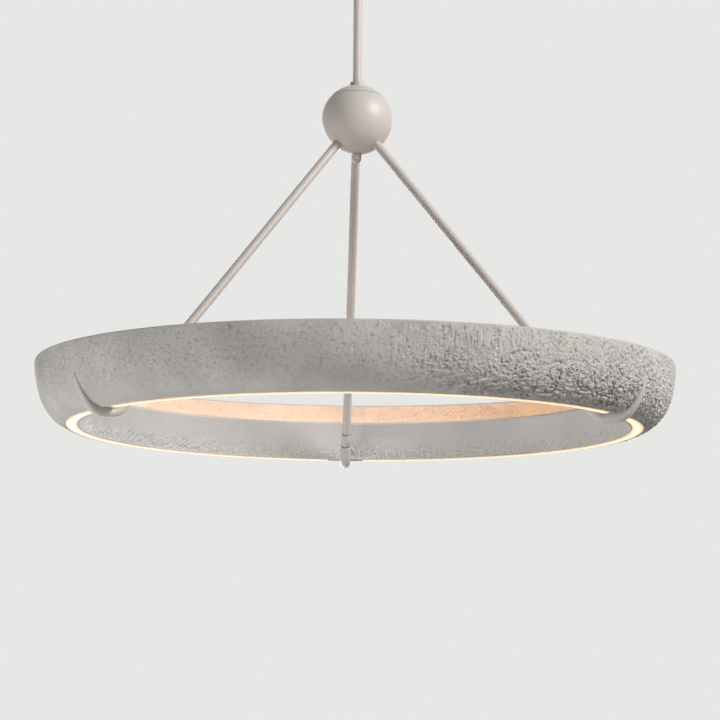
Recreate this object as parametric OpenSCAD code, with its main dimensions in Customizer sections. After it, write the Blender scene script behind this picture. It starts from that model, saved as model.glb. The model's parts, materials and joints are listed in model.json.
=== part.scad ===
// Ring pendant light: a plaster ring with a lit slot underneath and a second light in its open top.
// Three rods spread from a ball on a stem and end in hooks that carry the ring.
// Millimetres, +Z up. The origin is the middle of the ceiling face, and everything hangs below it.

/* [Ring] */
// Outer diameter at the top edge
ring_d = 914.4; // [800:5:1000]
// How far the outer wall spreads outwards over its height
wall_flare = 43.7; // [38:0.1:50]
// Height of the outer wall
ring_h = 90; // [80:1:120]
// Height of the inner wall
inner_wall_h = 55; // [45:1:70]
// Thickness of the outer wall
outer_wall_t = 8; // [6:0.5:12]
// Thickness of the inner wall at its top
inner_wall_t = 7; // [5:0.5:8]
// How far the inner wall leans in over its height
inner_wall_lean = 15.5; // [8:0.5:20]
// How quickly the outer wall turns upright above its bottom edge
bowl_power = 2.5; // [2:0.1:3.5]

/* [Light slot] */
// Width of the slot in the ring's underside
slot_w = 17.4; // [16:0.2:19]
// Lip between the slot and the outer wall's bottom edge
outer_lip = 0.9; // [0.6:0.1:2]
// Lip between the slot and the inner wall's face
inner_lip = 1.7; // [1:0.1:3]
// Height of the ledge that the channel rests on
ledge_h = 24; // [22:0.5:30]
// Thickness of the rolled channel's sheet
channel_t = 1.5; // [1:0.1:2]
// Thickness of the channel's flange
flange_t = 2; // [1.5:0.1:3]
// Thickness of the lower diffuser's face
diffuser_t = 3; // [2:0.5:4]
// Length of the plaster bridge over each hook
bridge_l = 53; // [40:1:60]
// Radius of the upper diffuser's half-round cover
cover_r = 9; // [8:0.5:11]

/* [Arms] */
// Diameter of the rods and the stem
rod_d = 12.7; // [11:0.1:14]
// Inner diameter of the rods and the stem
rod_bore_d = 10; // [8:0.1:10.4]
// Direction of the first arm, in degrees
arm_turn = 92; // [0:1:119]
// Height of the ball's centre above the ring's bottom
ring_drop = 449.8; // [380:0.2:540]
// Radius of the hooks' bend under the ring
hook_bend_r = 24.7; // [20:0.1:30]

/* [Ball and stem] */
// Diameter of the ball
ball_d = 101.6; // [95:0.1:115]
// Diameter of the cap's seam on the ball
cap_seam_d = 73.2; // [60:0.2:80]
// Length of the lower stem
lower_stem_l = 304.8; // [200:0.1:400]
// Length of the upper stem
upper_stem_l = 152.4; // [100:0.1:300]
// Diameter of the finial under the ball
finial_d = 13.5; // [12:0.5:18]
// Height of the finial
finial_h = 13; // [10:0.5:20]

/* [Canopy] */
// Outer diameter of the canopy
canopy_d = 180; // [176:1:200]
// Height of the canopy
canopy_h = 50; // [50:1:60]
// Thickness of the canopy's sheet
canopy_t = 1.5; // [1:0.1:2]
// Distance between the outlet box screws
box_screw_gap = 88.9; // [86:0.1:92]
// Length of each slotted screw hole
box_slot_l = 14; // [8:0.5:14]

/* [Hidden] */
$fn = 96;
cut = 1;
fit_gap = 0.1;
run_gap = 0.05;
body_gap = 0.3;
arm_count = 3;
arm_step = 360 / arm_count;

rod_r = rod_d / 2;
rod_bore_r = rod_bore_d / 2;

// Ring outline, heights measured from its bottom edge
ring_r = ring_d / 2;
ring_bottom_r = ring_r - wall_flare;
bowl_steps = 12;
slot_outer_r = ring_bottom_r - outer_lip;
slot_inner_r = slot_outer_r - slot_w;
slot_mid_r = (slot_outer_r + slot_inner_r) / 2;
inner_face_r = slot_inner_r - inner_lip;
inner_step = 2.4;
inner_top_r = inner_face_r - inner_wall_lean;
function outer_r(h) = ring_bottom_r + (ring_r - ring_bottom_r) * (1 - pow(1 - h / ring_h, bowl_power));
channel_top_h = ledge_h + flange_t;

// Light strips and diffusers
strip_w = 10;
strip_t = 1.2;
rib_h = 5;
rib_t = 1.2;
cover_t = 1.5;
bridge_plug_h = 13;
bridge_angle = 360 * bridge_l / (PI * 2 * slot_mid_r);
part_gap_angle = 0.15;
diffuser_gap = 0.3;
cover_gap_angle = 0.5;

// Ball, its hub and what meets it
ball_r = ball_d / 2;
ball_t = 1.5;
cap_seam_r = cap_seam_d / 2;
cap_seam_z = sqrt(ball_r * ball_r - cap_seam_r * cap_seam_r);
seam_gap = 0.6;
cap_lip_h = 4;
hub_r = 32;
hub_top = 16;
hub_bottom = 29;
stem_seat = 4;
arm_seat = 16;
arm_hole_gap = 0.4;
collar_r = 10.4;
collar_h = 5;
collar_round = 1.5;
finial_r = finial_d / 2;
stud_r = 3;
stud_depth = 15;
spacer_r = 6;
splice_r = rod_bore_r - fit_gap;

// Arm ends and hooks
sleeve_r = 6.65;
sleeve_l = 22;
socket_r = 8;
socket_depth = 10;
hook_seat_run = 14;
hook_seat_t = 5.9;
hook_seat_w = 6.8;
hook_seat_gap = 0.4;
hook_tip_h = 44.5;
hook_tip_r = 1.6;
hook_tip_gap = 0.64;
hook_lean_h = 14;
hook_lean_gap = 9.4;
tip_power_in = 1.15;
tip_power_side = 1.9;
hook_sides = 20;
bend_steps = 8;
tip_steps = 14;
cable_r = 1.5;
cable_way_r = 2.4;
cable_turn = 5;
cable_sides = 8;
hook_seat_h = -hook_seat_t - hook_seat_gap;
run_start_r = slot_mid_r - hook_seat_run / 2;
run_end_r = slot_mid_r + hook_seat_run / 2;

// Slope of the arms below level: a line from the ball's centre that runs into the bend
bend_mid_drop = ring_drop - hook_seat_h - hook_bend_r;
arm_drop = atan2(bend_mid_drop, run_start_r) + asin(hook_bend_r / norm([run_start_r, bend_mid_drop]));
bend_start_r = run_start_r - hook_bend_r * sin(arm_drop);
socket_l = 19;
hook_start = bend_start_r / cos(arm_drop) - socket_l;

// Stem, swivel and canopy, from the ceiling down
plate_t = 2.5;
plate_edge_gap = 4.5;
plate_cut = 22;
stud_share = 0.386;
plate_stud_r = 2;
box_slot_r = 2.4;
strap_t = 2.5;
strap_w = 18;
strap_leg_x = 22;
strap_foot_x = 35;
strap_room = 14;
strap_screw_x = 29;
nipple_r = 5;
nipple_bore_r = 3.2;
nipple_top = 6;
nut_r = 8;
nut_h = 5;
small_screw_r = 1.75;
small_head_r = 3.2;
small_head_h = 2;
canopy_round = 6;
canopy_r = canopy_d / 2;
cap_nut_r = 4.5;
cap_nut_h = 5;
stud_nut_depth = 4;
driver_room = 80;
driver_w = 34;
driver_h = 22;
driver_y = 37;
driver_tab = 8;
driver_tab_t = 2;
driver_edge = 2;
lead_r = 2;
terminal_x = 26;
terminal_y = -16;
terminal_l = 28;
terminal_w = 10;
terminal_h = 12;
terminal_hole_r = 1.8;
ground_x = -30;
housing_r = 13;
housing_h = 20;
housing_web = 4;
housing_bore_r = 10;
retainer_h = 8;
retainer_lip_h = 2;
spigot_r = 6;
spigot_flange_t = 3.7;
stop_r = 1.4;
stop_ring_r = 7.2;
yoke_gap = 0.5;
yoke_disc_t = 3.5;
pivot_drop = 12;
ear_t = 3.7;
ear_half_w = 8;
eye_r = 7.5;
eye_half_w = 8;
pivot_r = 2.5;
pivot_depth = 3.5;
pivot_head_r = 4;
pivot_head_h = 2;
knuckle_bore_r = 3.2;
neck_l = 14;
knuckle_r = 9.5;
knuckle_h = 18;
knuckle_seat = 4;
coupler_l = 30;
coupler_bore_r = 3.5;

plate_r = canopy_r - canopy_t - plate_edge_gap;
slot_end_x = (box_screw_gap + box_slot_l) / 2;
plate_stud_x = slot_end_x + (plate_r - slot_end_x) * stud_share;
driver_l = canopy_d - driver_room;
housing_z = -canopy_h;
retainer_z = housing_z - housing_h;
flange_z = retainer_z + retainer_h + body_gap;
disc_z = retainer_z - retainer_lip_h - yoke_gap;
pivot_z = disc_z - yoke_disc_t - pivot_drop;
knuckle_z = pivot_z - neck_l;
stem_top_z = knuckle_z - knuckle_seat;
stem_joint_z = stem_top_z - upper_stem_l;
ball_z = stem_joint_z - lower_stem_l - stem_seat;
ring_z = ball_z - ring_drop;
web_z = strap_room - canopy_h;

// Routes of the two leads in the canopy, chosen by hand: each runs from a free start or end, and the
// stretch round the driver is measured from the driver's end
mains_start = [[17, -21, -9], [17, -24, -9], [13, -29, -9.5], [4, -33, -10], [-15, -33, -11]];
mains_by_driver = [
    [12, -28, -12], [-2, -14, -13], [-5, 4, -13], [-12, 18, -13],
    [-16, 28, -13], [-12, 36, -13], [-4, 37, -13], [0, 37, -13]];
mains_route = concat(mains_start, [for (p = mains_by_driver) p - [driver_l / 2, 0, 0]]);
output_by_driver = [
    [0, 37, -13], [4, 37, -13], [11, 35.5, -14.5], [16, 28, -18], [10, 17, -25], [-6, 14, -28.5]];
output_over_web = [[26, 14, 7], [12, 12.5, 8], [4, 8, 10.5], [0.8, 2.5, 11], [0, 0, 8], [0, 0, 2]];
output_route = concat(
    [for (p = output_by_driver) p + [driver_l / 2, 0, 0]],
    [for (p = output_over_web) p + [0, 0, web_z]],
    [[0, 0, housing_z]]);

// Shared shapes
module tube(r, bore_r, h) {
    difference() {
        cylinder(r = r, h = h);
        translate([0, 0, -cut]) cylinder(r = bore_r, h = h + 2 * cut);
    }
}

module screw(shank_r, shank_l, head_r, head_h) {
    cylinder(r = shank_r, h = shank_l);
    translate([0, 0, -head_h]) cylinder(r = head_r, h = head_h);
}

function unit(v) = v / norm(v);

function tangent(path, i) = unit(path[min(i + 1, len(path) - 1)] - path[max(i - 1, 0)]);

function section(path, i, side, in_r, side_r, sides) =
    let (t = tangent(path, i), u = unit(cross(side, t)), v = cross(t, u))
    [for (k = [0 : sides - 1])
        path[i] + in_r * cos(360 * k / sides) * u + side_r * sin(360 * k / sides) * v];

// Round or oval tube along a route; in_r lies across side, side_r along it
module sweep(path, side, in_r, side_r, sides) {
    rings = len(path);
    points = [for (i = [0 : rings - 1]) each section(path, i, side, in_r[i], side_r[i], sides)];
    walls = [for (i = [0 : rings - 2], k = [0 : sides - 1])
        let (a = i * sides + k, b = i * sides + (k + 1) % sides)
        each [[a, a + sides, b], [b, a + sides, b + sides]]];
    near_end = [for (k = [1 : sides - 2]) [0, k, k + 1]];
    far = (rings - 1) * sides;
    far_end = [for (k = [1 : sides - 2]) [far, far + k + 1, far + k]];
    polyhedron(points = points, faces = concat(walls, near_end, far_end), convexity = 6);
}

module round_sweep(path, side, r) {
    radii = [for (p = path) r];
    sweep(path, side, radii, radii, cable_sides);
}

// Canopy and what is inside it
module mounting_plate() {
    color("gainsboro") translate([0, 0, -plate_t]) difference() {
        intersection() {
            cylinder(r = plate_r, h = plate_t);
            translate([-plate_r, -plate_cut, 0]) cube([2 * plate_r, plate_cut + plate_r, plate_t]);
        }
        for (side = [-1, 1]) {
            translate([side * box_screw_gap / 2, 0, -cut]) slot_cut();
            translate([side * plate_stud_x, 0, -cut]) cylinder(r = plate_stud_r, h = plate_t + 2 * cut);
            translate([side * strap_screw_x, 0, -cut]) cylinder(r = small_screw_r, h = plate_t + 2 * cut);
            translate([side * (driver_l + driver_tab) / 2, driver_y, -cut])
                cylinder(r = small_screw_r, h = plate_t + 2 * cut);
        }
        translate([ground_x, terminal_y, -cut]) cylinder(r = plate_stud_r, h = plate_t + 2 * cut);
    }
}

module slot_cut() {
    reach = box_slot_l / 2 - box_slot_r;
    for (end = [-1, 1]) translate([end * reach, 0, 0]) cylinder(r = box_slot_r, h = plate_t + 2 * cut);
    translate([-reach, -box_slot_r, 0]) cube([2 * reach, 2 * box_slot_r, plate_t + 2 * cut]);
}

module hanger_strap() {
    outer_x = strap_leg_x + strap_t;
    color("silver") difference() {
        translate([0, strap_w / 2, 0]) rotate([90, 0, 0]) linear_extrude(strap_w) polygon([
            [-strap_foot_x, -plate_t], [-strap_leg_x, -plate_t], [-strap_leg_x, web_z],
            [strap_leg_x, web_z], [strap_leg_x, -plate_t], [strap_foot_x, -plate_t],
            [strap_foot_x, -plate_t - strap_t], [outer_x, -plate_t - strap_t],
            [outer_x, web_z - strap_t], [-outer_x, web_z - strap_t],
            [-outer_x, -plate_t - strap_t], [-strap_foot_x, -plate_t - strap_t]]);
        translate([0, 0, web_z - strap_t - cut]) cylinder(r = nipple_r, h = strap_t + 2 * cut);
        for (side = [-1, 1]) translate([side * strap_screw_x, 0, -plate_t - strap_t - cut])
            cylinder(r = small_screw_r, h = strap_t + 2 * cut);
    }
}

module strap_screws() {
    color("silver") for (side = [-1, 1]) translate([side * strap_screw_x, 0, -plate_t - strap_t])
        screw(small_screw_r, plate_t + strap_t, small_head_r, small_head_h);
}

module threaded_nipple() {
    nipple_z = housing_z - housing_web;
    color("goldenrod") translate([0, 0, nipple_z])
        tube(nipple_r, nipple_bore_r, web_z + nipple_top - nipple_z);
}

module lock_nuts() {
    color("goldenrod") for (z = [web_z, web_z - strap_t - nut_h]) translate([0, 0, z]) difference() {
        cylinder(r = nut_r, h = nut_h, $fn = 6);
        translate([0, 0, -cut]) cylinder(r = nipple_r, h = nut_h + 2 * cut);
    }
}

// Half of the canopy's section, from its open rim round the lower edge to the middle
function canopy_edge(r, round_r) = concat(
    [[r, 0]],
    [for (a = [0 : 15 : 90]) [r - round_r + round_r * cos(a), -canopy_h + canopy_r - r + round_r * (1 - sin(a))]],
    [[0, -canopy_h + canopy_r - r]]);

module canopy_cover() {
    outline = canopy_edge(canopy_r, canopy_round);
    inside = canopy_edge(canopy_r - canopy_t, canopy_round - canopy_t);
    color("seashell") difference() {
        rotate_extrude() polygon(concat(outline, [for (i = [len(inside) - 1 : -1 : 0]) inside[i]]));
        translate([0, 0, -canopy_h - cut]) cylinder(r = nipple_r + body_gap, h = canopy_t + 2 * cut);
        for (side = [-1, 1]) translate([side * plate_stud_x, 0, -canopy_h - cut])
            cylinder(r = plate_stud_r + body_gap, h = canopy_t + 2 * cut);
    }
}

module canopy_studs() {
    color("silver") for (side = [-1, 1]) translate([side * plate_stud_x, 0, -canopy_h - stud_nut_depth])
        cylinder(r = plate_stud_r, h = canopy_h + stud_nut_depth);
}

module canopy_cap_nuts() {
    color("seashell") for (side = [-1, 1]) translate([side * plate_stud_x, 0, -canopy_h]) difference() {
        rotate_extrude() intersection() {
            union() {
                translate([0, -cap_nut_h]) square([cap_nut_r, cap_nut_h]);
                translate([0, -cap_nut_h]) circle(r = cap_nut_r);
            }
            translate([0, -cap_nut_h - cap_nut_r]) square([cap_nut_r, cap_nut_h + cap_nut_r]);
        }
        translate([0, 0, -stud_nut_depth]) cylinder(r = plate_stud_r, h = stud_nut_depth + cut);
    }
}

module led_driver() {
    color("whitesmoke") translate([0, driver_y, -plate_t]) {
        translate([-driver_l / 2, -driver_w / 2, -driver_h]) difference() {
            cube([driver_l, driver_w, driver_h]);
            for (y = [0, driver_w]) translate([-cut, y, 0]) rotate([45, 0, 0])
                translate([0, -driver_edge / 2, -driver_edge / 2])
                    cube([driver_l + 2 * cut, driver_edge, driver_edge]);
        }
        for (side = [-1, 1]) translate([side * (driver_l + driver_tab) / 2, 0, -driver_tab_t]) difference() {
            translate([-driver_tab / 2, -driver_tab, 0]) cube([driver_tab, 2 * driver_tab, driver_tab_t]);
            translate([0, 0, -cut]) cylinder(r = small_screw_r, h = driver_tab_t + 2 * cut);
        }
    }
}

module driver_screws() {
    color("silver") for (side = [-1, 1])
        translate([side * (driver_l + driver_tab) / 2, driver_y, -plate_t - driver_tab_t])
            screw(small_screw_r, plate_t + driver_tab_t, small_head_r, small_head_h);
}

module terminal_block() {
    color("ghostwhite") translate([terminal_x, terminal_y, -plate_t - terminal_h]) difference() {
        translate([-terminal_l / 2, -terminal_w / 2, 0]) cube([terminal_l, terminal_w, terminal_h]);
        for (i = [0 : 1]) translate([i * terminal_l / 3, -terminal_w / 2 - cut, terminal_h / 2])
            rotate([-90, 0, 0]) cylinder(r = terminal_hole_r, h = terminal_w / 2);
    }
}

module ground_screw() {
    color("green") translate([ground_x, terminal_y, -plate_t])
        screw(plate_stud_r, plate_t, small_head_r, small_head_h);
}

module mains_lead() {
    color("black") round_sweep(mains_route, [0, 0, 1], lead_r);
}

module output_lead() {
    color("black") round_sweep(output_route, [1, -1, 0.2], lead_r);
}

// Swivel
module swivel_housing() {
    color("seashell") {
        difference() {
            translate([0, 0, retainer_z]) cylinder(r = housing_r, h = housing_h);
            translate([0, 0, retainer_z - cut]) cylinder(r = housing_bore_r, h = housing_h - housing_web + cut);
            translate([0, 0, housing_z - housing_web - cut]) cylinder(r = nipple_r, h = housing_web + 2 * cut);
        }
        translate([stop_ring_r, 0, flange_z + spigot_flange_t + body_gap])
            cylinder(r = stop_r, h = housing_z - housing_web - flange_z - spigot_flange_t - body_gap);
    }
}

module swivel_retainer() {
    color("seashell") difference() {
        union() {
            translate([0, 0, retainer_z]) cylinder(r = housing_bore_r, h = retainer_h);
            translate([0, 0, retainer_z - retainer_lip_h]) cylinder(r = housing_r, h = retainer_lip_h);
        }
        translate([0, 0, retainer_z - retainer_lip_h - cut])
            cylinder(r = spigot_r + run_gap, h = retainer_h + retainer_lip_h + 2 * cut);
    }
}

module swivel_yoke() {
    stop_h = housing_z - housing_web - flange_z - spigot_flange_t - body_gap;
    color("seashell") {
        difference() {
            union() {
                translate([0, 0, disc_z]) cylinder(r = spigot_r, h = flange_z - disc_z);
                translate([0, 0, flange_z]) cylinder(r = housing_bore_r - body_gap, h = spigot_flange_t);
                translate([0, 0, disc_z - yoke_disc_t]) cylinder(r = housing_r, h = yoke_disc_t);
            }
            translate([0, 0, disc_z - yoke_disc_t - cut])
                cylinder(r = nipple_bore_r, h = flange_z + spigot_flange_t - disc_z + yoke_disc_t + 2 * cut);
        }
        translate([-stop_ring_r, 0, flange_z + spigot_flange_t]) cylinder(r = stop_r, h = stop_h);
        for (side = [-1, 1]) yoke_ear(side);
    }
}

module yoke_ear(side) {
    inner_y = eye_half_w + body_gap;
    low_y = side > 0 ? inner_y : -inner_y - ear_t;
    difference() {
        union() {
            translate([-ear_half_w, low_y, pivot_z]) cube([2 * ear_half_w, ear_t, pivot_drop]);
            translate([0, low_y + ear_t, pivot_z]) rotate([90, 0, 0]) cylinder(r = ear_half_w, h = ear_t);
        }
        translate([0, low_y + ear_t + cut, pivot_z]) rotate([90, 0, 0])
            cylinder(r = pivot_r, h = ear_t + 2 * cut);
    }
}

module pivot_screws() {
    screw_l = ear_t + pivot_depth;
    head_y = eye_half_w + body_gap + ear_t;
    color("silver") for (side = [-1, 1]) translate([0, side * head_y, pivot_z])
        rotate([side * 90, 0, 0]) screw(pivot_r, screw_l, pivot_head_r, pivot_head_h);
}

module swivel_knuckle() {
    color("seashell") difference() {
        union() {
            translate([0, eye_half_w, pivot_z]) rotate([90, 0, 0]) cylinder(r = eye_r, h = 2 * eye_half_w);
            translate([-eye_r, -eye_half_w, knuckle_z]) cube([2 * eye_r, 2 * eye_half_w, neck_l]);
            translate([0, 0, knuckle_z - knuckle_h]) cylinder(r = knuckle_r, h = knuckle_h);
        }
        for (side = [-1, 1]) translate([0, side * (eye_half_w - pivot_depth / 2 + cut), pivot_z])
            rotate([90, 0, 0])
                cylinder(r = pivot_r + run_gap, h = pivot_depth + 2 * cut, center = true);
        translate([0, 0, stem_top_z - cut]) cylinder(r = knuckle_bore_r, h = eye_r + neck_l + knuckle_seat + 2 * cut);
        translate([0, 0, knuckle_z - knuckle_h - cut]) cylinder(r = rod_r, h = knuckle_h - knuckle_seat + cut);
    }
}

// Stem and ball
module upper_stem() {
    color("seashell") translate([0, 0, stem_joint_z]) tube(rod_r, rod_bore_r, upper_stem_l);
}

module stem_coupler() {
    color("goldenrod") translate([0, 0, stem_joint_z - coupler_l / 2])
        tube(rod_bore_r, coupler_bore_r, coupler_l);
}

module lower_stem() {
    color("seashell") translate([0, 0, ball_z + stem_seat]) tube(rod_r, rod_bore_r, lower_stem_l);
}

module stem_cable() {
    color("black") translate([0, 0, ball_z + splice_r])
        cylinder(r = lead_r, h = stem_top_z - ball_z - splice_r);
}

module cable_splice() {
    color("ghostwhite") translate([0, 0, ball_z]) sphere(r = splice_r);
}

module stem_collar() {
    color("seashell") translate([0, 0, ball_z]) difference() {
        rotate_extrude() difference() {
            union() {
                square([collar_r, ball_r + collar_h - collar_round]);
                square([collar_r - collar_round, ball_r + collar_h]);
                translate([collar_r - collar_round, ball_r + collar_h - collar_round])
                    circle(r = collar_round, $fn = 32);
            }
            square([rod_r, ball_r + collar_h + cut]);
        }
        sphere(r = ball_r);
    }
}

module ball_cap() {
    lip_r = sqrt(pow(ball_r - ball_t, 2) - pow(cap_seam_z, 2)) - fit_gap;
    color("seashell") translate([0, 0, ball_z]) difference() {
        union() {
            intersection() {
                difference() {
                    sphere(r = ball_r);
                    sphere(r = ball_r - ball_t);
                }
                translate([0, 0, cap_seam_z + seam_gap]) cylinder(r = ball_r, h = ball_r);
            }
            intersection() {
                translate([0, 0, cap_seam_z - cap_lip_h]) tube(lip_r, lip_r - ball_t, 2 * cap_lip_h);
                sphere(r = ball_r - ball_t / 2);
            }
        }
        cylinder(r = rod_r, h = 2 * ball_r);
    }
}

module ball_shell() {
    color("seashell") translate([0, 0, ball_z]) difference() {
        sphere(r = ball_r);
        sphere(r = ball_r - ball_t);
        translate([0, 0, cap_seam_z]) cylinder(r = ball_r, h = ball_r);
        translate([0, 0, -ball_r - cut]) cylinder(r = stud_r + fit_gap, h = ball_r);
        for (k = [0 : arm_count - 1]) arm_frame(k) cylinder(r = rod_r + arm_hole_gap, h = ball_r + cut);
    }
}

// Turns the children so that their +Z runs down arm k, from the ball's centre
module arm_frame(k) {
    rotate([0, 0, arm_turn + k * arm_step]) rotate([0, 90 + arm_drop, 0]) children();
}

module arm_hub() {
    color("silver") translate([0, 0, ball_z]) difference() {
        intersection() {
            sphere(r = hub_r);
            translate([0, 0, -hub_bottom]) cylinder(r = hub_r, h = hub_bottom + hub_top);
        }
        cylinder(r = rod_bore_r, h = hub_top + cut);
        translate([0, 0, stem_seat]) cylinder(r = rod_r, h = hub_top);
        for (k = [0 : arm_count - 1]) arm_frame(k) {
            cylinder(r = rod_bore_r, h = hub_r + cut);
            translate([0, 0, arm_seat]) cylinder(r = rod_r, h = hub_r);
        }
        translate([0, 0, -hub_bottom - cut]) cylinder(r = stud_r, h = stud_depth + cut);
    }
}

module finial_spacer() {
    color("silver") translate([0, 0, ball_z]) intersection() {
        translate([0, 0, -ball_r]) tube(spacer_r, stud_r + fit_gap, ball_r - hub_bottom);
        sphere(r = ball_r - ball_t);
    }
}

module ball_finial() {
    color("seashell") translate([0, 0, ball_z - ball_r]) {
        cylinder(r = stud_r, h = ball_r - hub_bottom + stud_depth);
        rotate_extrude() intersection() {
            union() {
                translate([0, finial_r - finial_h]) square([finial_r, finial_h - finial_r]);
                translate([0, finial_r - finial_h]) circle(r = finial_r);
            }
            translate([0, -finial_h]) square([finial_r, finial_h]);
        }
    }
}

// Arms, sleeves and hooks
module arm(k) {
    color("seashell") translate([0, 0, ball_z]) arm_frame(k) translate([0, 0, arm_seat])
        tube(rod_r, rod_bore_r, hook_start + socket_depth - arm_seat);
}

module arm_sleeve(k) {
    color("seashell") translate([0, 0, ball_z]) arm_frame(k) translate([0, 0, hook_start - sleeve_l])
        tube(sleeve_r, rod_r, sleeve_l);
}

// Points in an arm's upright plane: distance from the axis, nothing across, height over the ring's bottom
function on_arm(s) = [s * cos(arm_drop), 0, ring_drop - s * sin(arm_drop)];

function bend(a) = [
    run_start_r - hook_bend_r * sin(a), 0, hook_seat_h + hook_bend_r * (1 - cos(a))];

function curve(p, t) =
    pow(1 - t, 3) * p[0] + 3 * t * pow(1 - t, 2) * p[1] + 3 * t * t * (1 - t) * p[2] + pow(t, 3) * p[3];

tip_guides = [
    [run_end_r, 0, hook_seat_h],
    [run_end_r + hook_seat_run, 0, hook_seat_h],
    [outer_r(hook_lean_h) + hook_lean_gap, 0, hook_lean_h],
    [outer_r(hook_tip_h) + hook_tip_r + hook_tip_gap, 0, hook_tip_h]];

bend_points = [for (i = [0 : bend_steps]) bend(arm_drop * (1 - i / bend_steps))];
tip_points = [for (i = [0 : tip_steps]) curve(tip_guides, i / tip_steps)];

// The horn thins towards its tip, in the arm's plane a little sooner than across it
function taper(t, from, power) = hook_tip_r + (from - hook_tip_r) * (1 - pow(t, power));

module hook(k) {
    path = concat([on_arm(hook_start), on_arm(hook_start + socket_depth + cut)], bend_points, tip_points);
    bend_share = [for (i = [0 : bend_steps]) i / bend_steps];
    in_r = concat([socket_r, socket_r],
        [for (b = bend_share) socket_r + (hook_seat_t - socket_r) * b],
        [for (i = [0 : tip_steps]) taper(i / tip_steps, hook_seat_t, tip_power_in)]);
    side_r = concat([socket_r, socket_r],
        [for (b = bend_share) socket_r + (hook_seat_w - socket_r) * b],
        [for (i = [0 : tip_steps]) taper(i / tip_steps, hook_seat_w, tip_power_side)]);
    color("seashell") translate([0, 0, ring_z]) rotate([0, 0, arm_turn + k * arm_step]) difference() {
        sweep(path, [0, 1, 0], in_r, side_r, hook_sides);
        sweep([on_arm(hook_start - cut), on_arm(hook_start + socket_depth)], [0, 1, 0],
            [rod_r + fit_gap, rod_r + fit_gap], [rod_r + fit_gap, rod_r + fit_gap], hook_sides);
        round_sweep(cable_route(hook_start, socket_r), [0, 1, 0], cable_way_r);
    }
}

// Down the arm, round the hook's bend and up through the bridge to height top_h
function cable_route(from, top_h) = concat(
    [on_arm(from)], bend_points,
    [[slot_mid_r - cable_turn, 0, hook_seat_h]],
    [for (a = [30, 60, 90]) [slot_mid_r - cable_turn * (1 - sin(a)), 0, hook_seat_h + cable_turn * (1 - cos(a))]],
    [[slot_mid_r, 0, top_h]]);

module arm_cable(k) {
    color("black") translate([0, 0, ring_z]) rotate([0, 0, arm_turn + k * arm_step])
        round_sweep(cable_route(splice_r, ledge_h - strip_t - body_gap), [0, 1, 0], cable_r);
}

// Ring
module ring_outer_wall() {
    heights = [for (i = [0 : bowl_steps]) ring_h * i / bowl_steps];
    outside = [for (h = heights) [outer_r(h), h]];
    inside = [for (i = [bowl_steps : -1 : 0]) if (heights[i] > ledge_h)
        [outer_r(heights[i]) - outer_wall_t, heights[i]]];
    color("gainsboro") translate([0, 0, ring_z]) rotate_extrude() polygon(concat(
        [[slot_outer_r, 0]], outside, inside,
        [[outer_r(ledge_h) - outer_wall_t, ledge_h], [slot_outer_r, ledge_h]]));
}

module ring_inner_wall() {
    color("darkgray") translate([0, 0, ring_z]) rotate_extrude() polygon([
        [inner_face_r, 0], [slot_inner_r, 0], [slot_inner_r, ledge_h],
        [slot_inner_r - inner_step, ledge_h], [inner_top_r + inner_wall_t, inner_wall_h],
        [inner_top_r, inner_wall_h]]);
}

module ring_channel() {
    color("silver") translate([0, 0, ring_z]) rotate_extrude() {
        for (r = [slot_inner_r, slot_outer_r - channel_t])
            translate([r, diffuser_t]) square([channel_t, channel_top_h - diffuser_t]);
        translate([slot_inner_r - inner_step + fit_gap, ledge_h])
            square([outer_r(ledge_h) - outer_wall_t - slot_inner_r + inner_step - 2 * fit_gap, flange_t]);
    }
}

// Part of a ring, from the middle of gap k to the next, less a gap at each end
module ring_arc(k, gap) {
    translate([0, 0, ring_z]) rotate([0, 0, arm_turn + k * arm_step + gap / 2])
        rotate_extrude(angle = arm_step - gap) children();
}

module hook_bridge(k) {
    color("gainsboro") difference() {
        translate([0, 0, ring_z]) rotate([0, 0, arm_turn + k * arm_step - bridge_angle / 2])
            rotate_extrude(angle = bridge_angle) {
                translate([slot_inner_r, 0]) square([slot_w, diffuser_t]);
                translate([slot_inner_r + channel_t, 0])
                    square([slot_w - 2 * channel_t, diffuser_t + bridge_plug_h]);
            }
        translate([0, 0, ring_z]) rotate([0, 0, arm_turn + k * arm_step]) translate([slot_mid_r, 0, -cut])
            cylinder(r = cable_way_r, h = diffuser_t + bridge_plug_h + 2 * cut);
    }
}

module lower_led_strips() {
    color("gold") for (k = [0 : arm_count - 1]) ring_arc(k, bridge_angle)
        translate([slot_mid_r - strip_w / 2, ledge_h - strip_t]) square([strip_w, strip_t]);
}

module lower_diffuser(k) {
    color("lightyellow") ring_arc(k, bridge_angle + part_gap_angle) {
        translate([slot_inner_r + diffuser_gap, 0]) square([slot_w - 2 * diffuser_gap, diffuser_t]);
        for (r = [slot_inner_r + channel_t + diffuser_gap, slot_outer_r - channel_t - diffuser_gap - rib_t])
            translate([r, 0]) square([rib_t, diffuser_t + rib_h]);
    }
}

module upper_led_strips() {
    color("gold") for (k = [0 : arm_count - 1]) ring_arc(k, cover_gap_angle)
        translate([slot_mid_r - strip_w / 2, channel_top_h]) square([strip_w, strip_t]);
}

module upper_diffuser(k) {
    color("lightyellow") ring_arc(k, cover_gap_angle) translate([slot_mid_r, channel_top_h]) difference() {
        circle(r = cover_r);
        circle(r = cover_r - cover_t);
        translate([-cover_r - cut, -cover_r - cut]) square([2 * (cover_r + cut), cover_r + cut]);
    }
}

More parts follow.
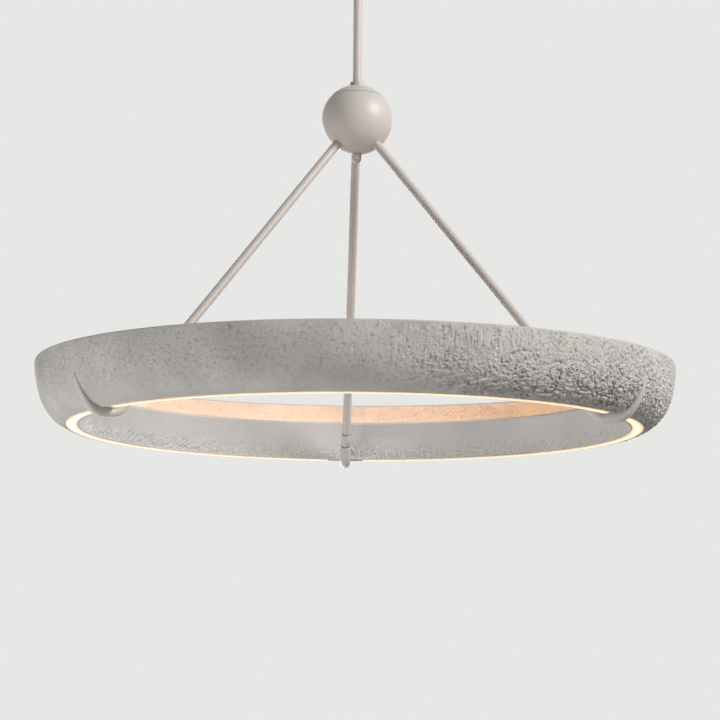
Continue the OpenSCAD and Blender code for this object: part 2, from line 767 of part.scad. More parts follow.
mounting_plate();
hanger_strap();
strap_screws();
threaded_nipple();
lock_nuts();
canopy_cover();
canopy_studs();
canopy_cap_nuts();
led_driver();
driver_screws();
terminal_block();
ground_screw();
mains_lead();
output_lead();
swivel_housing();
swivel_retainer();
swivel_yoke();
pivot_screws();
swivel_knuckle();
upper_stem();
stem_coupler();
lower_stem();
stem_cable();
cable_splice();
stem_collar();
ball_cap();
ball_shell();
arm_hub();
finial_spacer();
ball_finial();
arm(0);  // arm_1
arm(1);  // arm_2
arm(2);  // arm_3
arm_sleeve(0);  // arm_sleeve_1
arm_sleeve(1);  // arm_sleeve_2
arm_sleeve(2);  // arm_sleeve_3
hook(0);  // hook_1
hook(1);  // hook_2
hook(2);  // hook_3
arm_cable(0);  // arm_cable_1
arm_cable(1);  // arm_cable_2
arm_cable(2);  // arm_cable_3
ring_outer_wall();
ring_inner_wall();
ring_channel();
hook_bridge(0);  // hook_bridge_1
hook_bridge(1);  // hook_bridge_2
hook_bridge(2);  // hook_bridge_3
lower_led_strips();
lower_diffuser(0);  // lower_diffuser_1
lower_diffuser(1);  // lower_diffuser_2
lower_diffuser(2);  // lower_diffuser_3
upper_led_strips();
upper_diffuser(0);  // upper_diffuser_1
upper_diffuser(1);  // upper_diffuser_2
upper_diffuser(2);  // upper_diffuser_3
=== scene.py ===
"""Looks of the ring pendant light: crinkled plaster, satin metal, lit diffusers, studio and camera.

Lengths of the light's own forms are in millimetres until they are turned into vertices (MM).
"""

import json
import math

import bmesh
import bpy
import numpy as np
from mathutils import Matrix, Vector


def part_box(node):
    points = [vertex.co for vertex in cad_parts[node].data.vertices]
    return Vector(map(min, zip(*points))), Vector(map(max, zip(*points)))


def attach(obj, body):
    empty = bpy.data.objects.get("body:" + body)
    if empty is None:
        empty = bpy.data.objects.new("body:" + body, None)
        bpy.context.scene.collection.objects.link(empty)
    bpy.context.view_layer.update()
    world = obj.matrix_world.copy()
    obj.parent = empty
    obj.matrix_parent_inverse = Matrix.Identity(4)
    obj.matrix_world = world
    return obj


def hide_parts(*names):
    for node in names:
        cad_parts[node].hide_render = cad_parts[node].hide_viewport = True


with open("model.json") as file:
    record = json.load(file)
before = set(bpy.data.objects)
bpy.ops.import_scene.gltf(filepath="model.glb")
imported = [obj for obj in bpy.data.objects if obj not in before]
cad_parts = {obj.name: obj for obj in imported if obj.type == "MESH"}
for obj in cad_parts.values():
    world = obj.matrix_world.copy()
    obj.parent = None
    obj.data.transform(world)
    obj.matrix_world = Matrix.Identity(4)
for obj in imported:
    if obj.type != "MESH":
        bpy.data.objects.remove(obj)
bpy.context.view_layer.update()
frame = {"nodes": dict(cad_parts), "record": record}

MM = 0.001
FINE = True
SECTION_STEP = 1.15 if FINE else 3.0
LIP_STEP = 0.5 if FINE else 1.2
RING_SEGMENTS = 2400 if FINE else 700
LENS_SEGMENTS = 500 if FINE else 160

# Ring, heights measured from its bottom edge
wall_low, wall_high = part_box("ring_outer_wall")
RING_Z = wall_low.z / MM
RING_H = (wall_high.z - wall_low.z) / MM
RING_R = 457.2
BOTTOM_R = 413.5
BOWL_POWER = 2.5
BOWL_SWELL = 7.6
BOWL_SWELL_RISE = 4.0
BOWL_SWELL_H = 65.0
OUTER_WALL_T = 8.0
TOP_ROUND = 2.2
OUTSIDE_RUN = 112.0
SLOT_OUTER_R = 412.6
SLOT_INNER_R = 395.2
SLOT_MID_R = (SLOT_OUTER_R + SLOT_INNER_R) / 2
INNER_FACE_R = 393.5
INNER_TOP_R = 378.0
TROUGH_INNER_R = 392.8
INNER_WALL_H = 55.0
INNER_WALL_T = 7.0
LEDGE_H = 24.0
SLOT_EDGE_H = 1.5
LIP_DROP = 0.9
OUTER_LIP_R = 0.95
OUTER_LIP_BACK = 0.35
OUTER_LIP_UP = 0.2
INNER_LIP_R = 1.35
INNER_LIP_BACK = 0.9
INNER_LIP_UP = 0.3
LENS_GAP = 0.3
LENS_EDGE_H = 0.5
LENS_CROWN = 2.4
LENS_POWER = 2.6
LENS_T = 3.0
LENS_GAP_ANGLE = math.radians(3.8)
BRIDGE_HALF_ANGLE = math.radians(3.76)
BRIDGE_PROUD = 0.15
BRIDGE_ROUND = 2.5
BRIDGE_TOP_H = 12.0

# Share of the full relief that each stretch of a wall's section takes
FACE_SHARE = 1.0
LIP_SHARE = 0.3
TOP_SHARE = 0.14
INSIDE_SHARE = 0.35
INNER_TOP_SHARE = 0.5
TROUGH_SHARE = 0.0
FLAT_RELIEF = 0.5

# Arms and hooks
ARM_COUNT = 3
ARM_TURN = math.radians(92)
ARM_DROP = math.radians(49.8)
HOOK_SEAT_RUN = 14.0
HOOK_SEAT_H = -6.3
HOOK_BEND_R = 24.7
HOOK_SOCKET_L = 19.0
SOCKET_R = 8.0
SOCKET_HOLLOW = 6.0
SOCKET_ROUND = 0.5
ROD_R = 6.45
SEAT_T = 5.9
SEAT_W = 7.2
TIP_R = 2.8
TIP_W = 3.6
TIP_POWER = 3.2
TIP_GUIDES = [(410.9, -6.3), (424.0, -6.3), (442.8, 15.0), (450.2, 43.3)]
HOOK_BED = 1.4
HOOK_SQUARE = 0.42
HOOK_BEDDED_FROM = 1.02
HOOK_SIDES = 48
WALL_REACH = 12.0
WALL_STEP = 0.05
COLLAR_L = 22.0
COLLAR_R = 6.95
COLLAR_CHAMFER = 0.35
# Thin dark rings at the collar's ends, painted shade for the shadow lines there
SHADOW_RING_T = 1.3
SHADOW_RING_R = 6.7
SHADOW_RING_CHAMFER = 0.1
ROD_BITE = 0.05


# Noise

SHARPNESS = 0.7


def lattice_gradients(seed):
    """256 unit vectors, and a shuffled order to pick them in."""
    rng = np.random.default_rng(seed)
    vectors = rng.normal(size=(256, 3))
    vectors /= np.linalg.norm(vectors, axis=1)[:, None]
    return vectors, rng.permutation(256)


def perlin(points, seed):
    """Gradient noise, about -0.8 to 0.8, at points measured in lattice cells."""
    vectors, order = lattice_gradients(seed)
    cell = np.floor(points).astype(np.int64)
    part = points - cell
    fade = part * part * part * (part * (part * 6 - 15) + 10)
    total = np.zeros(len(points))
    for i in (0, 1):
        wx = fade[:, 0] if i else 1 - fade[:, 0]
        for j in (0, 1):
            wy = fade[:, 1] if j else 1 - fade[:, 1]
            for k in (0, 1):
                wz = fade[:, 2] if k else 1 - fade[:, 2]
                spot = order[(cell[:, 0] + i) & 255]
                spot = order[(spot + cell[:, 1] + j) & 255]
                spot = order[(spot + cell[:, 2] + k) & 255]
                away = part - (i, j, k)
                total += wx * wy * wz * (vectors[spot] * away).sum(1)
    return total * 1.5


def ridges(points, seed):
    """Sharp-crested noise, about -1 to 1, with its crests along curved lines."""
    return 1 - 3.4 * np.abs(perlin(points, seed))


def sharpened(values):
    """Pushes values away from the middle, so that crests and pits meet in a steeper slope."""
    return np.sign(values) * np.abs(values) ** SHARPNESS


def smoothstep(low, high, x):
    """0 below low, 1 above high, and an S-curve between them."""
    t = np.clip((x - low) / (high - low), 0, 1)
    return t * t * (3 - 2 * t)


def warped(points, cell, amount, seed):
    """Points pushed about by slow noise, so that what is drawn on them winds."""
    push = [perlin(points / cell, seed + i) for i in range(3)]
    return points + amount * np.stack(push, axis=1)


# Meshes


def grid_mesh(name, rows, closed_rows, closed_columns, relief=None):
    """A mesh of quads over rows of points, each an array of the same length, in millimetres."""
    count_a, count_b, _ = rows.shape
    mesh = bpy.data.meshes.new(name)
    mesh.vertices.add(count_a * count_b)
    mesh.vertices.foreach_set("co", (rows.reshape(-1, 3) * MM).astype(np.float32).ravel())
    last_a = count_a if closed_rows else count_a - 1
    last_b = count_b if closed_columns else count_b - 1
    a, b = np.meshgrid(np.arange(last_a), np.arange(last_b), indexing="ij")
    a2 = (a + 1) % count_a
    b2 = (b + 1) % count_b
    corners = [a * count_b + b, a2 * count_b + b, a2 * count_b + b2, a * count_b + b2]
    quads = np.stack(corners, axis=-1).reshape(-1, 4)
    mesh.loops.add(quads.size)
    mesh.loops.foreach_set("vertex_index", quads.astype(np.int32).ravel())
    mesh.polygons.add(len(quads))
    mesh.polygons.foreach_set("loop_start", np.arange(0, quads.size, 4, dtype=np.int32))
    mesh.polygons.foreach_set("use_smooth", np.ones(len(quads), dtype=bool))
    if relief is not None:
        store_relief(mesh, relief.ravel())
    mesh.update(calc_edges=True)
    mesh.validate()
    return mesh


def store_relief(mesh, values):
    """Keeps how far each point stands proud, from 0 in a pit to 1 on a crest, for the material, which
    paints shade into the low points with it.
    """
    colours = np.ones((len(values), 4), dtype=np.float32)
    colours[:, :3] = np.clip(values, 0, 1)[:, None]
    layer = mesh.color_attributes.new("relief", "FLOAT_COLOR", "POINT")
    layer.data.foreach_set("color", colours.ravel())


def piece(name, mesh, material, node):
    """An object that rides on the pendant and stands for a node, where there is one."""
    made = bpy.data.objects.new(name, mesh)
    bpy.context.scene.collection.objects.link(made)
    made.data.materials.append(material)
    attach(made, "pendant")
    if node is not None:
        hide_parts(node)


def resample(points, step):
    """Points along a polyline about one step apart, without the last one."""
    points = np.asarray(points, dtype=float)
    lengths = np.linalg.norm(np.diff(points, axis=0), axis=1)
    along = np.concatenate([[0], np.cumsum(lengths)])
    count = max(2, int(round(along[-1] / step)))
    spots = np.arange(count) * along[-1] / count
    return np.stack([np.interp(spots, along, points[:, i]) for i in (0, 1)], axis=1)


def arc(centre, radius_r, radius_h, start, end, steps):
    """Points of an elliptical arc in the ring's section, angles in degrees from outwards."""
    angles = np.radians(np.linspace(start, end, steps))
    return [(centre[0] + radius_r * math.cos(a), centre[1] + radius_h * math.sin(a)) for a in angles]


# Plaster ring


def outer_r(h):
    """The bowl's radius at a height: a power curve, fuller just above its bottom edge."""
    curve = BOTTOM_R + (RING_R - BOTTOM_R) * (1 - (1 - h / RING_H) ** BOWL_POWER)
    return curve + BOWL_SWELL * (1 - np.exp(-h / BOWL_SWELL_RISE)) * (1 - smoothstep(0, BOWL_SWELL_H, h))


def outer_section():
    """The outer wall's section: points (r, h), with each point's share of the full relief."""
    top_h = RING_H - TOP_ROUND
    centre = (SLOT_OUTER_R + OUTER_LIP_BACK, OUTER_LIP_UP)
    lip = arc(centre, OUTER_LIP_R, LIP_DROP + OUTER_LIP_UP, 180, 340, 9)
    outside = [(outer_r(h), h) for h in np.linspace(0.6, top_h, 80)]
    edge = arc((RING_R - TOP_ROUND, top_h), TOP_ROUND, TOP_ROUND, 0, 90, 9)
    edge += arc((RING_R - OUTER_WALL_T + TOP_ROUND, top_h), TOP_ROUND, TOP_ROUND, 90, 180, 9)
    inside = [(outer_r(h) - OUTER_WALL_T, h) for h in np.linspace(top_h, LEDGE_H, 30)]
    ledge = [(SLOT_OUTER_R, LEDGE_H), (SLOT_OUTER_R, SLOT_EDGE_H)]
    parts = [
        (resample(lip + outside[:1], LIP_STEP), LIP_SHARE),
        (resample(outside, SECTION_STEP), FACE_SHARE),
        (resample(edge, SECTION_STEP * 0.6), TOP_SHARE),
        (resample(inside, SECTION_STEP * 1.7), INSIDE_SHARE),
        (resample([inside[-1]] + ledge + [lip[0]], 7.0), TROUGH_SHARE)]
    return join_parts(parts)


def inner_section():
    """The inner wall's section, from the slot round the lip, up the face and down the trough side."""
    top_round = INNER_WALL_T / 2
    top_h = INNER_WALL_H - top_round
    lean = (INNER_FACE_R - INNER_TOP_R) / INNER_WALL_H
    centre = (INNER_FACE_R + INNER_LIP_BACK, INNER_LIP_UP)
    lip = arc(centre, INNER_LIP_R, LIP_DROP + INNER_LIP_UP, 0, -165, 10)
    face_low = (INNER_FACE_R - 0.5 * lean, 0.5)
    face_high = (INNER_FACE_R - top_h * lean, top_h)
    edge = arc((INNER_TOP_R + top_round + 0.8, top_h), top_round, top_round, 180, 0, 13)
    ledge = [(TROUGH_INNER_R, LEDGE_H), (SLOT_INNER_R, LEDGE_H), (SLOT_INNER_R, SLOT_EDGE_H)]
    parts = [
        (resample(lip + [face_low], LIP_STEP), LIP_SHARE),
        (resample([face_low, face_high], SECTION_STEP), FACE_SHARE),
        (resample(edge, SECTION_STEP * 0.8), INNER_TOP_SHARE),
        (resample([edge[-1]] + ledge + [lip[0]], 5.0), TROUGH_SHARE)]
    return join_parts(parts)


def join_parts(parts):
    """A section's stretches as one, with the relief's share softened where two of them meet."""
    points = np.concatenate([p for p, _ in parts])
    shares = np.concatenate([np.full(len(p), share) for p, share in parts])
    soft = np.array([1, 2, 3, 2, 1]) / 9
    padded = np.concatenate([shares[-2:], shares, shares[:2]])
    return points, np.convolve(padded, soft, mode="valid")


def section_normals(points):
    """Outward normals of a closed section that runs with its outside on the right-hand side."""
    along = np.roll(points, -1, axis=0) - np.roll(points, 1, axis=0)
    along /= np.linalg.norm(along, axis=1)[:, None]
    return np.stack([along[:, 1], -along[:, 0]], axis=1)


def ring_rows(points, shares, height_at):
    """Displaces a section along its normals all the way round, and returns points and relief."""
    normals = section_normals(points)
    steps = np.linalg.norm(np.diff(points, axis=0), axis=1)
    along = np.concatenate([[0], np.cumsum(steps)])
    theta = np.linspace(0, 2 * math.pi, RING_SEGMENTS, endpoint=False)
    turn, index = np.meshgrid(theta, np.arange(len(points)), indexing="ij")
    turn, index = turn.ravel(), index.ravel()
    r, h = points[index, 0], points[index, 1]
    flat = np.stack([RING_R * np.cos(turn), RING_R * np.sin(turn), along[index]], axis=1)
    proud = height_at(flat, h, turn) * shares[index]
    r = r + proud * normals[index, 0]
    z = RING_Z + h + proud * normals[index, 1]
    rows = np.stack([r * np.cos(turn), r * np.sin(turn), z], axis=1)
    level = FLAT_RELIEF + 0.35 * proud
    return rows.reshape(RING_SEGMENTS, len(points), 3), level.reshape(RING_SEGMENTS, -1)


def leaning(flat, turn, slope):
    """The wall's points sheared round the ring, so that upright marks drawn on them lean."""
    turned = turn + slope * flat[:, 2] / RING_R
    return np.stack([RING_R * np.cos(turned), RING_R * np.sin(turned), flat[:, 2]], axis=1)


def outer_marks(flat, turn, wound, right):
    """The outer wall's three kinds of mark: crumbs, upright drags and rolled creases."""
    fine = sharpened(perlin(wound / 2.1, 2))
    web = (0.4 + 0.15 * right) * ridges(wound / 4.8, 19)
    flakes = sharpened(perlin(leaning(wound, turn, 0.5) / (3.5, 3.5, 5.0), 1))
    crumbs = (0.5 + 0.4 * right) * flakes + (0.8 - 0.15 * right) * fine + web
    upright = warped(flat / (2.3, 2.3, 15.0), 2.6, 0.4, 21)
    drags = 0.75 * perlin(upright, 3) + 0.4 * fine + 0.2 * perlin(wound / 5.0, 4)
    creases = ridges(warped(flat / (17.0, 17.0, 6.0), 2.2, 0.8, 31), 5)
    hatch = perlin(leaning(flat, turn, -1.0) / (2.6, 2.6, 13.0), 6)
    rolls = 0.5 * hatch + 0.35 * fine - 0.7 * creases
    return crumbs, drags, rolls


def outer_pits(flat, wound):
    """Small pits in clusters, 0 to 1."""
    clusters = 0.35 + 0.65 * smoothstep(-0.05, 0.3, perlin(flat / 15.0, 25))
    return clusters * smoothstep(0.16, 0.42, perlin(wound / 3.0, 7))


def outer_nicks(flat, h, side):
    """Thin broken lines on the calmer left-hand half, fainter near the slot."""
    winding = warped(flat / (8.0, 8.0, 5.2), 1.5, 0.6, 51)
    lines = 1 - smoothstep(0.03, 0.22, np.abs(perlin(winding, 9)))
    cracks = lines * smoothstep(0.0, 0.3, perlin(flat / 6.0, 27)) * (0.4 + 0.6 * smoothstep(15, 45, h))
    return 0.7 * cracks * (1 - smoothstep(0.2, 0.6, side))


def outer_strength(flat, h, side, right, low):
    """How deep the marks are: faint on the left, deep on the right, calmer at the right's top."""
    patchy = 1 + (0.5 + 0.4 * right) * perlin(flat / 16.0, 23)
    calm = 1 - 0.15 * low * (1 - smoothstep(0.1, 0.5, side)) - 0.42 * right * smoothstep(42, 80, h)
    strength = 0.5 - 0.1 * smoothstep(-0.5, -0.1, side) + 0.95 * smoothstep(-0.05, 0.3, side)
    strength += 0.7 * right + 0.5 * low * smoothstep(0.2, 0.6, side)
    return patchy * calm * strength


def outer_relief(flat, h, turn):
    """Crinkled plaster: a web of crumbs and pits, upright drags near the top, creases lower down."""
    side = np.cos(turn)
    right = smoothstep(0.35, 0.8, side)
    wound = warped(flat, 9.0, 3.0, 11)
    drifting = h + 14 * perlin(flat / 28.0, 10)
    up = smoothstep(36, 64, drifting)
    low = 1 - smoothstep(12, 38, drifting)
    centre = 1 - smoothstep(0.3, 0.75, np.abs(side - 0.12))
    drag_share = up * (0.12 + 0.83 * centre)
    roll_share = low * (0.3 + 0.45 * smoothstep(0.1, 0.4, side) - 0.35 * smoothstep(0.65, 0.9, side))
    crumbs, drags, rolls = outer_marks(flat, turn, wound, right)
    mixed = crumbs * (1 - drag_share - roll_share) + drags * drag_share + rolls * roll_share
    deep = 0.2 + 1.0 * smoothstep(0.1, 0.6, side)
    marks = 0.85 * mixed - deep * outer_pits(flat, wound)
    rim = 1 - 0.8 * smoothstep(RING_H - 6, RING_H - 1.5, h)
    near_slot = 0.75 + 0.25 * smoothstep(3, 12, h)
    strength = outer_strength(flat, h, side, right, low)
    proud = rim * near_slot * (strength * marks - outer_nicks(flat, h, side))
    hidden = smoothstep(0, 8, flat[:, 2] - OUTSIDE_RUN)
    swell = perlin(flat / 60.0, 8)
    return proud * (1 - 0.6 * hidden) + 1.6 * hidden * scratched(flat) + 0.35 * swell


def scratched(flat):
    """Short fine scratches that run mostly round the ring, for the face above the upward light."""
    wound = warped(flat / (11.0, 11.0, 5.0), 1.6, 0.7, 71)
    lines = 1 - smoothstep(0.02, 0.16, np.abs(perlin(wound, 28)))
    return -lines * smoothstep(0.05, 0.3, perlin(flat / (16.0, 16.0, 9.0), 29))


def inner_relief(flat, h, turn):
    """Trowelled face: faint brushed streaks, with short slanting dents along the bottom edge."""
    leaned = leaning(flat, turn, -0.9)
    grooves = sharpened(perlin(warped(leaned / (3.4, 3.4, 8.5), 2.2, 0.6, 41), 12))
    brushed = perlin(warped(leaning(flat, turn, 0.25) / (2.6, 2.6, 20.0), 2.0, 0.5, 61), 13)
    crumbs = sharpened(perlin(warped(flat, 8.0, 2.5, 45) / (3.4, 3.4, 2.6), 14))
    swell = perlin(flat / 60.0, 15)
    low = 1 - smoothstep(8, 26, h + 9 * perlin(flat / 18.0, 16))
    slanted = smoothstep(0.2, 0.8, -np.cos(turn) + 0.4 * perlin(flat / 50.0, 24))
    dents = (0.3 + 1.2 * slanted) * grooves + (1.2 - 0.5 * slanted) * crumbs
    return low * dents + 0.12 * brushed + 0.3 * swell + 0.14 * crumbs


def build_ring(plaster, plaster_inner):
    """The ring's two walls."""
    points, shares = outer_section()
    rows, relief = ring_rows(points, shares, outer_relief)
    mesh = grid_mesh("plaster_outer", rows, True, True, relief)
    piece("plaster_outer", mesh, plaster, "ring_outer_wall")
    points, shares = inner_section()
    rows, relief = ring_rows(points[::-1], shares[::-1], inner_relief)
    mesh = grid_mesh("plaster_inner", rows, True, True, relief)
    piece("plaster_inner", mesh, plaster_inner, "ring_inner_wall")


def arm_turn(k):
    """The angle round the light at which an arm stands."""
    return ARM_TURN + k * 2 * math.pi / ARM_COUNT


def build_bridge(k, plaster):
    """The plaster patch that closes the slot over one hook, a little proud and dented like the lips."""
    turns = arm_turn(k) + np.linspace(-BRIDGE_HALF_ANGLE, BRIDGE_HALF_ANGLE, 50)
    across = np.linspace(SLOT_INNER_R, SLOT_OUTER_R, 20)
    turn, r = np.meshgrid(turns, across, indexing="ij")
    flat = np.stack([r * np.cos(turn), r * np.sin(turn), np.zeros_like(r)], axis=-1).reshape(-1, 3)
    dents = (0.3 * ridges(flat / 5.0, 17) + 0.2 * perlin(flat / 9.0, 18)).reshape(r.shape)
    edge = np.minimum(np.abs(turn - turns[0]), np.abs(turns[-1] - turn)) * SLOT_MID_R
    rounding = np.clip(BRIDGE_ROUND - edge, 0, BRIDGE_ROUND) ** 2 * 0.3
    face = RING_Z - BRIDGE_PROUD + rounding + 0.25 * dents
    low = np.stack([r * np.cos(turn), r * np.sin(turn), face], axis=-1)
    high = low.copy()
    high[..., 2] = RING_Z + BRIDGE_TOP_H
    rows = np.concatenate([low, high[:, ::-1]], axis=1)
    level = np.full(rows.shape[:2], FLAT_RELIEF)
    mesh = grid_mesh(f"plaster_bridge_{k + 1}", rows, False, True, level)
    close_ends(mesh, len(rows), rows.shape[1])
    piece(f"plaster_bridge_{k + 1}", mesh, plaster, f"hook_bridge_{k + 1}")


def close_ends(mesh, count_a, count_b):
    """Fills the first and last row of a tube-like mesh."""
    filled = bmesh.new()
    filled.from_mesh(mesh)
    filled.verts.ensure_lookup_table()
    filled.faces.new([filled.verts[i] for i in range(count_b)])
    filled.faces.new([filled.verts[(count_a - 1) * count_b + i] for i in range(count_b - 1, -1, -1)])
    bmesh.ops.recalc_face_normals(filled, faces=filled.faces)
    filled.to_mesh(mesh)
    filled.free()


# Hooks


def bezier(guides, t):
    """A point (r, h) of a cubic curve."""
    shares = [(1 - t) ** 3, 3 * t * (1 - t) ** 2, 3 * t * t * (1 - t), t ** 3]
    return tuple(sum(s * g[i] for s, g in zip(shares, guides)) for i in (0, 1))


def wall_distance(spot, square):
    """How far the plaster is from a point of the hook's centreline, towards the ring."""
    for s in np.arange(0, WALL_REACH, WALL_STEP):
        r, h = spot[0] + s * square[0], spot[1] + s * square[1]
        if h > 0 and r < outer_r(h):
            return s
    return 0.0


def bend_point(a):
    """A point (r, h) of the hook's bend, where its centreline slopes down at the angle a."""
    run_start = SLOT_MID_R - HOOK_SEAT_RUN / 2
    return run_start - HOOK_BEND_R * math.sin(a), HOOK_SEAT_H + HOOK_BEND_R * (1 - math.cos(a))


def socket_point(s):
    """A point (r, h) of the socket, so far up the arm from the bend."""
    start_r, start_h = bend_point(ARM_DROP)
    return start_r - s * math.cos(ARM_DROP), start_h + s * math.sin(ARM_DROP)


def hook_rows():
    """Points (r, h) down the arm, round the bend and out to the tip, with three radii at each.

    The radii are to the back, to the side and towards the ring, where the horn beds into the plaster.
    """
    rows = [(socket_point(s), SOCKET_R, SOCKET_R, SOCKET_R) for s in np.linspace(HOOK_SOCKET_L, 1, 8)]
    for share in np.linspace(0, 1, 16):
        thin = smoothstep(0, 1, share)
        in_r = SOCKET_R + (SEAT_T - SOCKET_R) * thin
        side_r = SOCKET_R + (SEAT_W - SOCKET_R) * thin
        reach = in_r + (HOOK_BED - HOOK_SEAT_H - SEAT_T) * smoothstep(0.8, 1, share)
        rows.append((bend_point(ARM_DROP * (1 - share)), in_r, side_r, reach))
    return rows + tip_rows()


def tip_rows():
    """The hook's rows from the seat under the slot out to the tip."""
    steps = np.linspace(0, 1, 44)
    spots = np.array([bezier(TIP_GUIDES, t) for t in steps])
    ways = np.gradient(spots, axis=0)
    ways /= np.linalg.norm(ways, axis=1)[:, None]
    rows = []
    for t, spot, way in zip(steps, spots, ways):
        in_r = TIP_R + (SEAT_T - TIP_R) * (1 - t ** TIP_POWER)
        side_r = TIP_W + (SEAT_W - TIP_W) * (1 - t ** TIP_POWER)
        bedded = wall_distance(spot, (-way[1], way[0])) + HOOK_BED
        rows.append((tuple(spot), in_r, side_r, max(bedded, in_r)))
    return rows


def hook_sections():
    """The hook from inside its socket to its rounded tip: point, direction and three radii."""
    line = hook_rows()
    spots = np.array([row[0] for row in line])
    along = np.gradient(spots, axis=0)
    along /= np.linalg.norm(along, axis=1)[:, None]
    start, way = spots[0], along[0]
    mouth_r = SOCKET_R - SOCKET_ROUND
    sections = [
        (start + way * SOCKET_HOLLOW, way, ROD_R, ROD_R, ROD_R),
        (start, way, ROD_R, ROD_R, ROD_R),
        (start, way, mouth_r, mouth_r, mouth_r),
        (start + way * SOCKET_ROUND, way, SOCKET_R, SOCKET_R, SOCKET_R)]
    sections += [(spot, way, *radii) for (spot, *radii), way in list(zip(line, along))[1:]]
    tip_back, tip_side, tip_reach = line[-1][1:]
    for a in np.radians([25, 50, 70, 85]):
        cap = spots[-1] + along[-1] * TIP_R * math.sin(a)
        small = math.cos(a)
        sections.append((cap, along[-1], tip_back * small, tip_side * small, tip_reach * small))
    return sections


def hook_ring(k, spot, way, back_r, side_r, reach):
    """One oval ring of a horn, square to its centreline, longer and squarer towards the plaster."""
    turn = arm_turn(k)
    outward = np.array([math.cos(turn), math.sin(turn), 0])
    across = np.array([-math.sin(turn), math.cos(turn), 0])
    upward = np.array([0, 0, 1.0])
    around = np.linspace(0, 2 * math.pi, HOOK_SIDES, endpoint=False)
    centre = spot[0] * outward + (RING_Z + spot[1]) * upward
    square = -way[1] * outward + way[0] * upward
    inward, sideways = np.cos(around), np.sin(around)
    boxy = HOOK_SQUARE if reach > back_r * HOOK_BEDDED_FROM else 1.0
    deep = np.where(inward > 0, reach * np.abs(inward) ** boxy, back_r * inward)
    side = np.where(inward > 0, np.sign(sideways) * np.abs(sideways) ** boxy, sideways) * side_r
    return centre + deep[:, None] * square + side[:, None] * across


def build_hook(k, metal):
    """A smooth horn with a rounded tip and a socket that is open round its arm."""
    rows = [hook_ring(k, *section) for section in hook_sections()]
    mesh = grid_mesh(f"horn_{k + 1}", np.array(rows), False, True)
    piece(f"horn_{k + 1}", mesh, metal, f"hook_{k + 1}")


def arm_lathe(name, profile, k):
    """A round piece on an arm: (distance up the arm from the hook's mouth, radius), from the top down."""
    way = np.array([math.cos(ARM_DROP), -math.sin(ARM_DROP)])
    mouth = np.array(socket_point(HOOK_SOCKET_L))
    rows = [hook_ring(k, mouth - s * way, way, r, r, r) for s, r in profile]
    return grid_mesh(name, np.array(rows), False, True)


def chamfered(low, high, radius, chamfer):
    """The profile of a tube on an arm, from its top end down, chamfered at both ends."""
    bore = ROD_R - ROD_BITE
    edge = radius - chamfer
    profile = [(high, bore), (high, edge), (high - chamfer, radius)]
    return profile + [(low + chamfer, radius), (low, edge), (low, bore)]


def build_collar(k, metal, rubber):
    """The collar on an arm's end, with a thin dark ring at each end of it: painted shade that stands for
    the shadow lines there.
    """
    mesh = arm_lathe(f"collar_{k + 1}", chamfered(SHADOW_RING_T, COLLAR_L, COLLAR_R, COLLAR_CHAMFER), k)
    piece(f"collar_{k + 1}", mesh, metal, f"arm_sleeve_{k + 1}")
    # Painted shade: dark rings in the cable's rubber, put where the collar's ends show only shadow lines.
    for place, foot in (("low", 0.0), ("high", COLLAR_L)):
        profile = chamfered(foot, foot + SHADOW_RING_T, SHADOW_RING_R, SHADOW_RING_CHAMFER)
        name = f"shadow_ring_{place}_{k + 1}"
        piece(name, arm_lathe(name, profile, k), rubber, None)


# Lens


def build_lens(k, opal):
    """One arc of the lit slot's lens: a shallow crown between the plaster lips, seated in the slot."""
    start = arm_turn(k) + LENS_GAP_ANGLE
    end = start + 2 * math.pi / ARM_COUNT - 2 * LENS_GAP_ANGLE
    turns = np.linspace(start, end, LENS_SEGMENTS)
    low_r, high_r = SLOT_INNER_R + LENS_GAP, SLOT_OUTER_R - LENS_GAP
    middle, half = (low_r + high_r) / 2, (high_r - low_r) / 2
    crown = []
    for x in np.linspace(-1, 1, 17):
        drop = LENS_CROWN * (1 - abs(x) ** LENS_POWER)
        crown.append((middle + x * half, LENS_EDGE_H - drop))
    section = np.array(crown + [(high_r, LENS_T), (low_r, LENS_T)])
    turn, index = np.meshgrid(turns, np.arange(len(section)), indexing="ij")
    r, h = section[index, 0], section[index, 1]
    rows = np.stack([r * np.cos(turn), r * np.sin(turn), RING_Z + h], axis=-1)
    mesh = grid_mesh(f"slot_lens_{k + 1}", rows, False, True)
    close_ends(mesh, len(rows), rows.shape[1])
    piece(f"slot_lens_{k + 1}", mesh, opal, f"lower_diffuser_{k + 1}")


# Materials

CHIPS_PER_RADIAN = 48.5


def new_material(name):
    """A material with its node tree and its shader."""
    made = bpy.data.materials.new(name)
    made.use_nodes = True
    tree = made.node_tree
    shader = tree.nodes["Principled BSDF"]
    return made, tree, shader


def add(tree, kind, values=None, **settings):
    """A node with its settings, and values put on its inputs: a link where a socket is given."""
    made = tree.nodes.new(kind)
    for key, value in settings.items():
        setattr(made, key, value)
    for key, value in (values or {}).items():
        if isinstance(value, bpy.types.NodeSocket):
            tree.links.new(value, made.inputs[key])
        else:
            made.inputs[key].default_value = value
    return made


def noise(tree, place, scale, detail=4.0, rough=0.55, stretch=None):
    """Noise over the object's own place, so many features to the metre."""
    if stretch is not None:
        place = add(tree, "ShaderNodeMapping", {"Vector": place, "Scale": stretch}).outputs["Vector"]
    made = add(tree, "ShaderNodeTexNoise", {
        "Vector": place, "Scale": scale, "Detail": detail, "Roughness": rough})
    return made.outputs["Fac"]


def ramp(tree, value, low, high, from_low=0.3, from_high=0.7):
    """A value mapped from one range to another."""
    made = add(tree, "ShaderNodeMapRange", {
        "Value": value, "From Min": from_low, "From Max": from_high, "To Min": low, "To Max": high})
    return made.outputs["Result"]


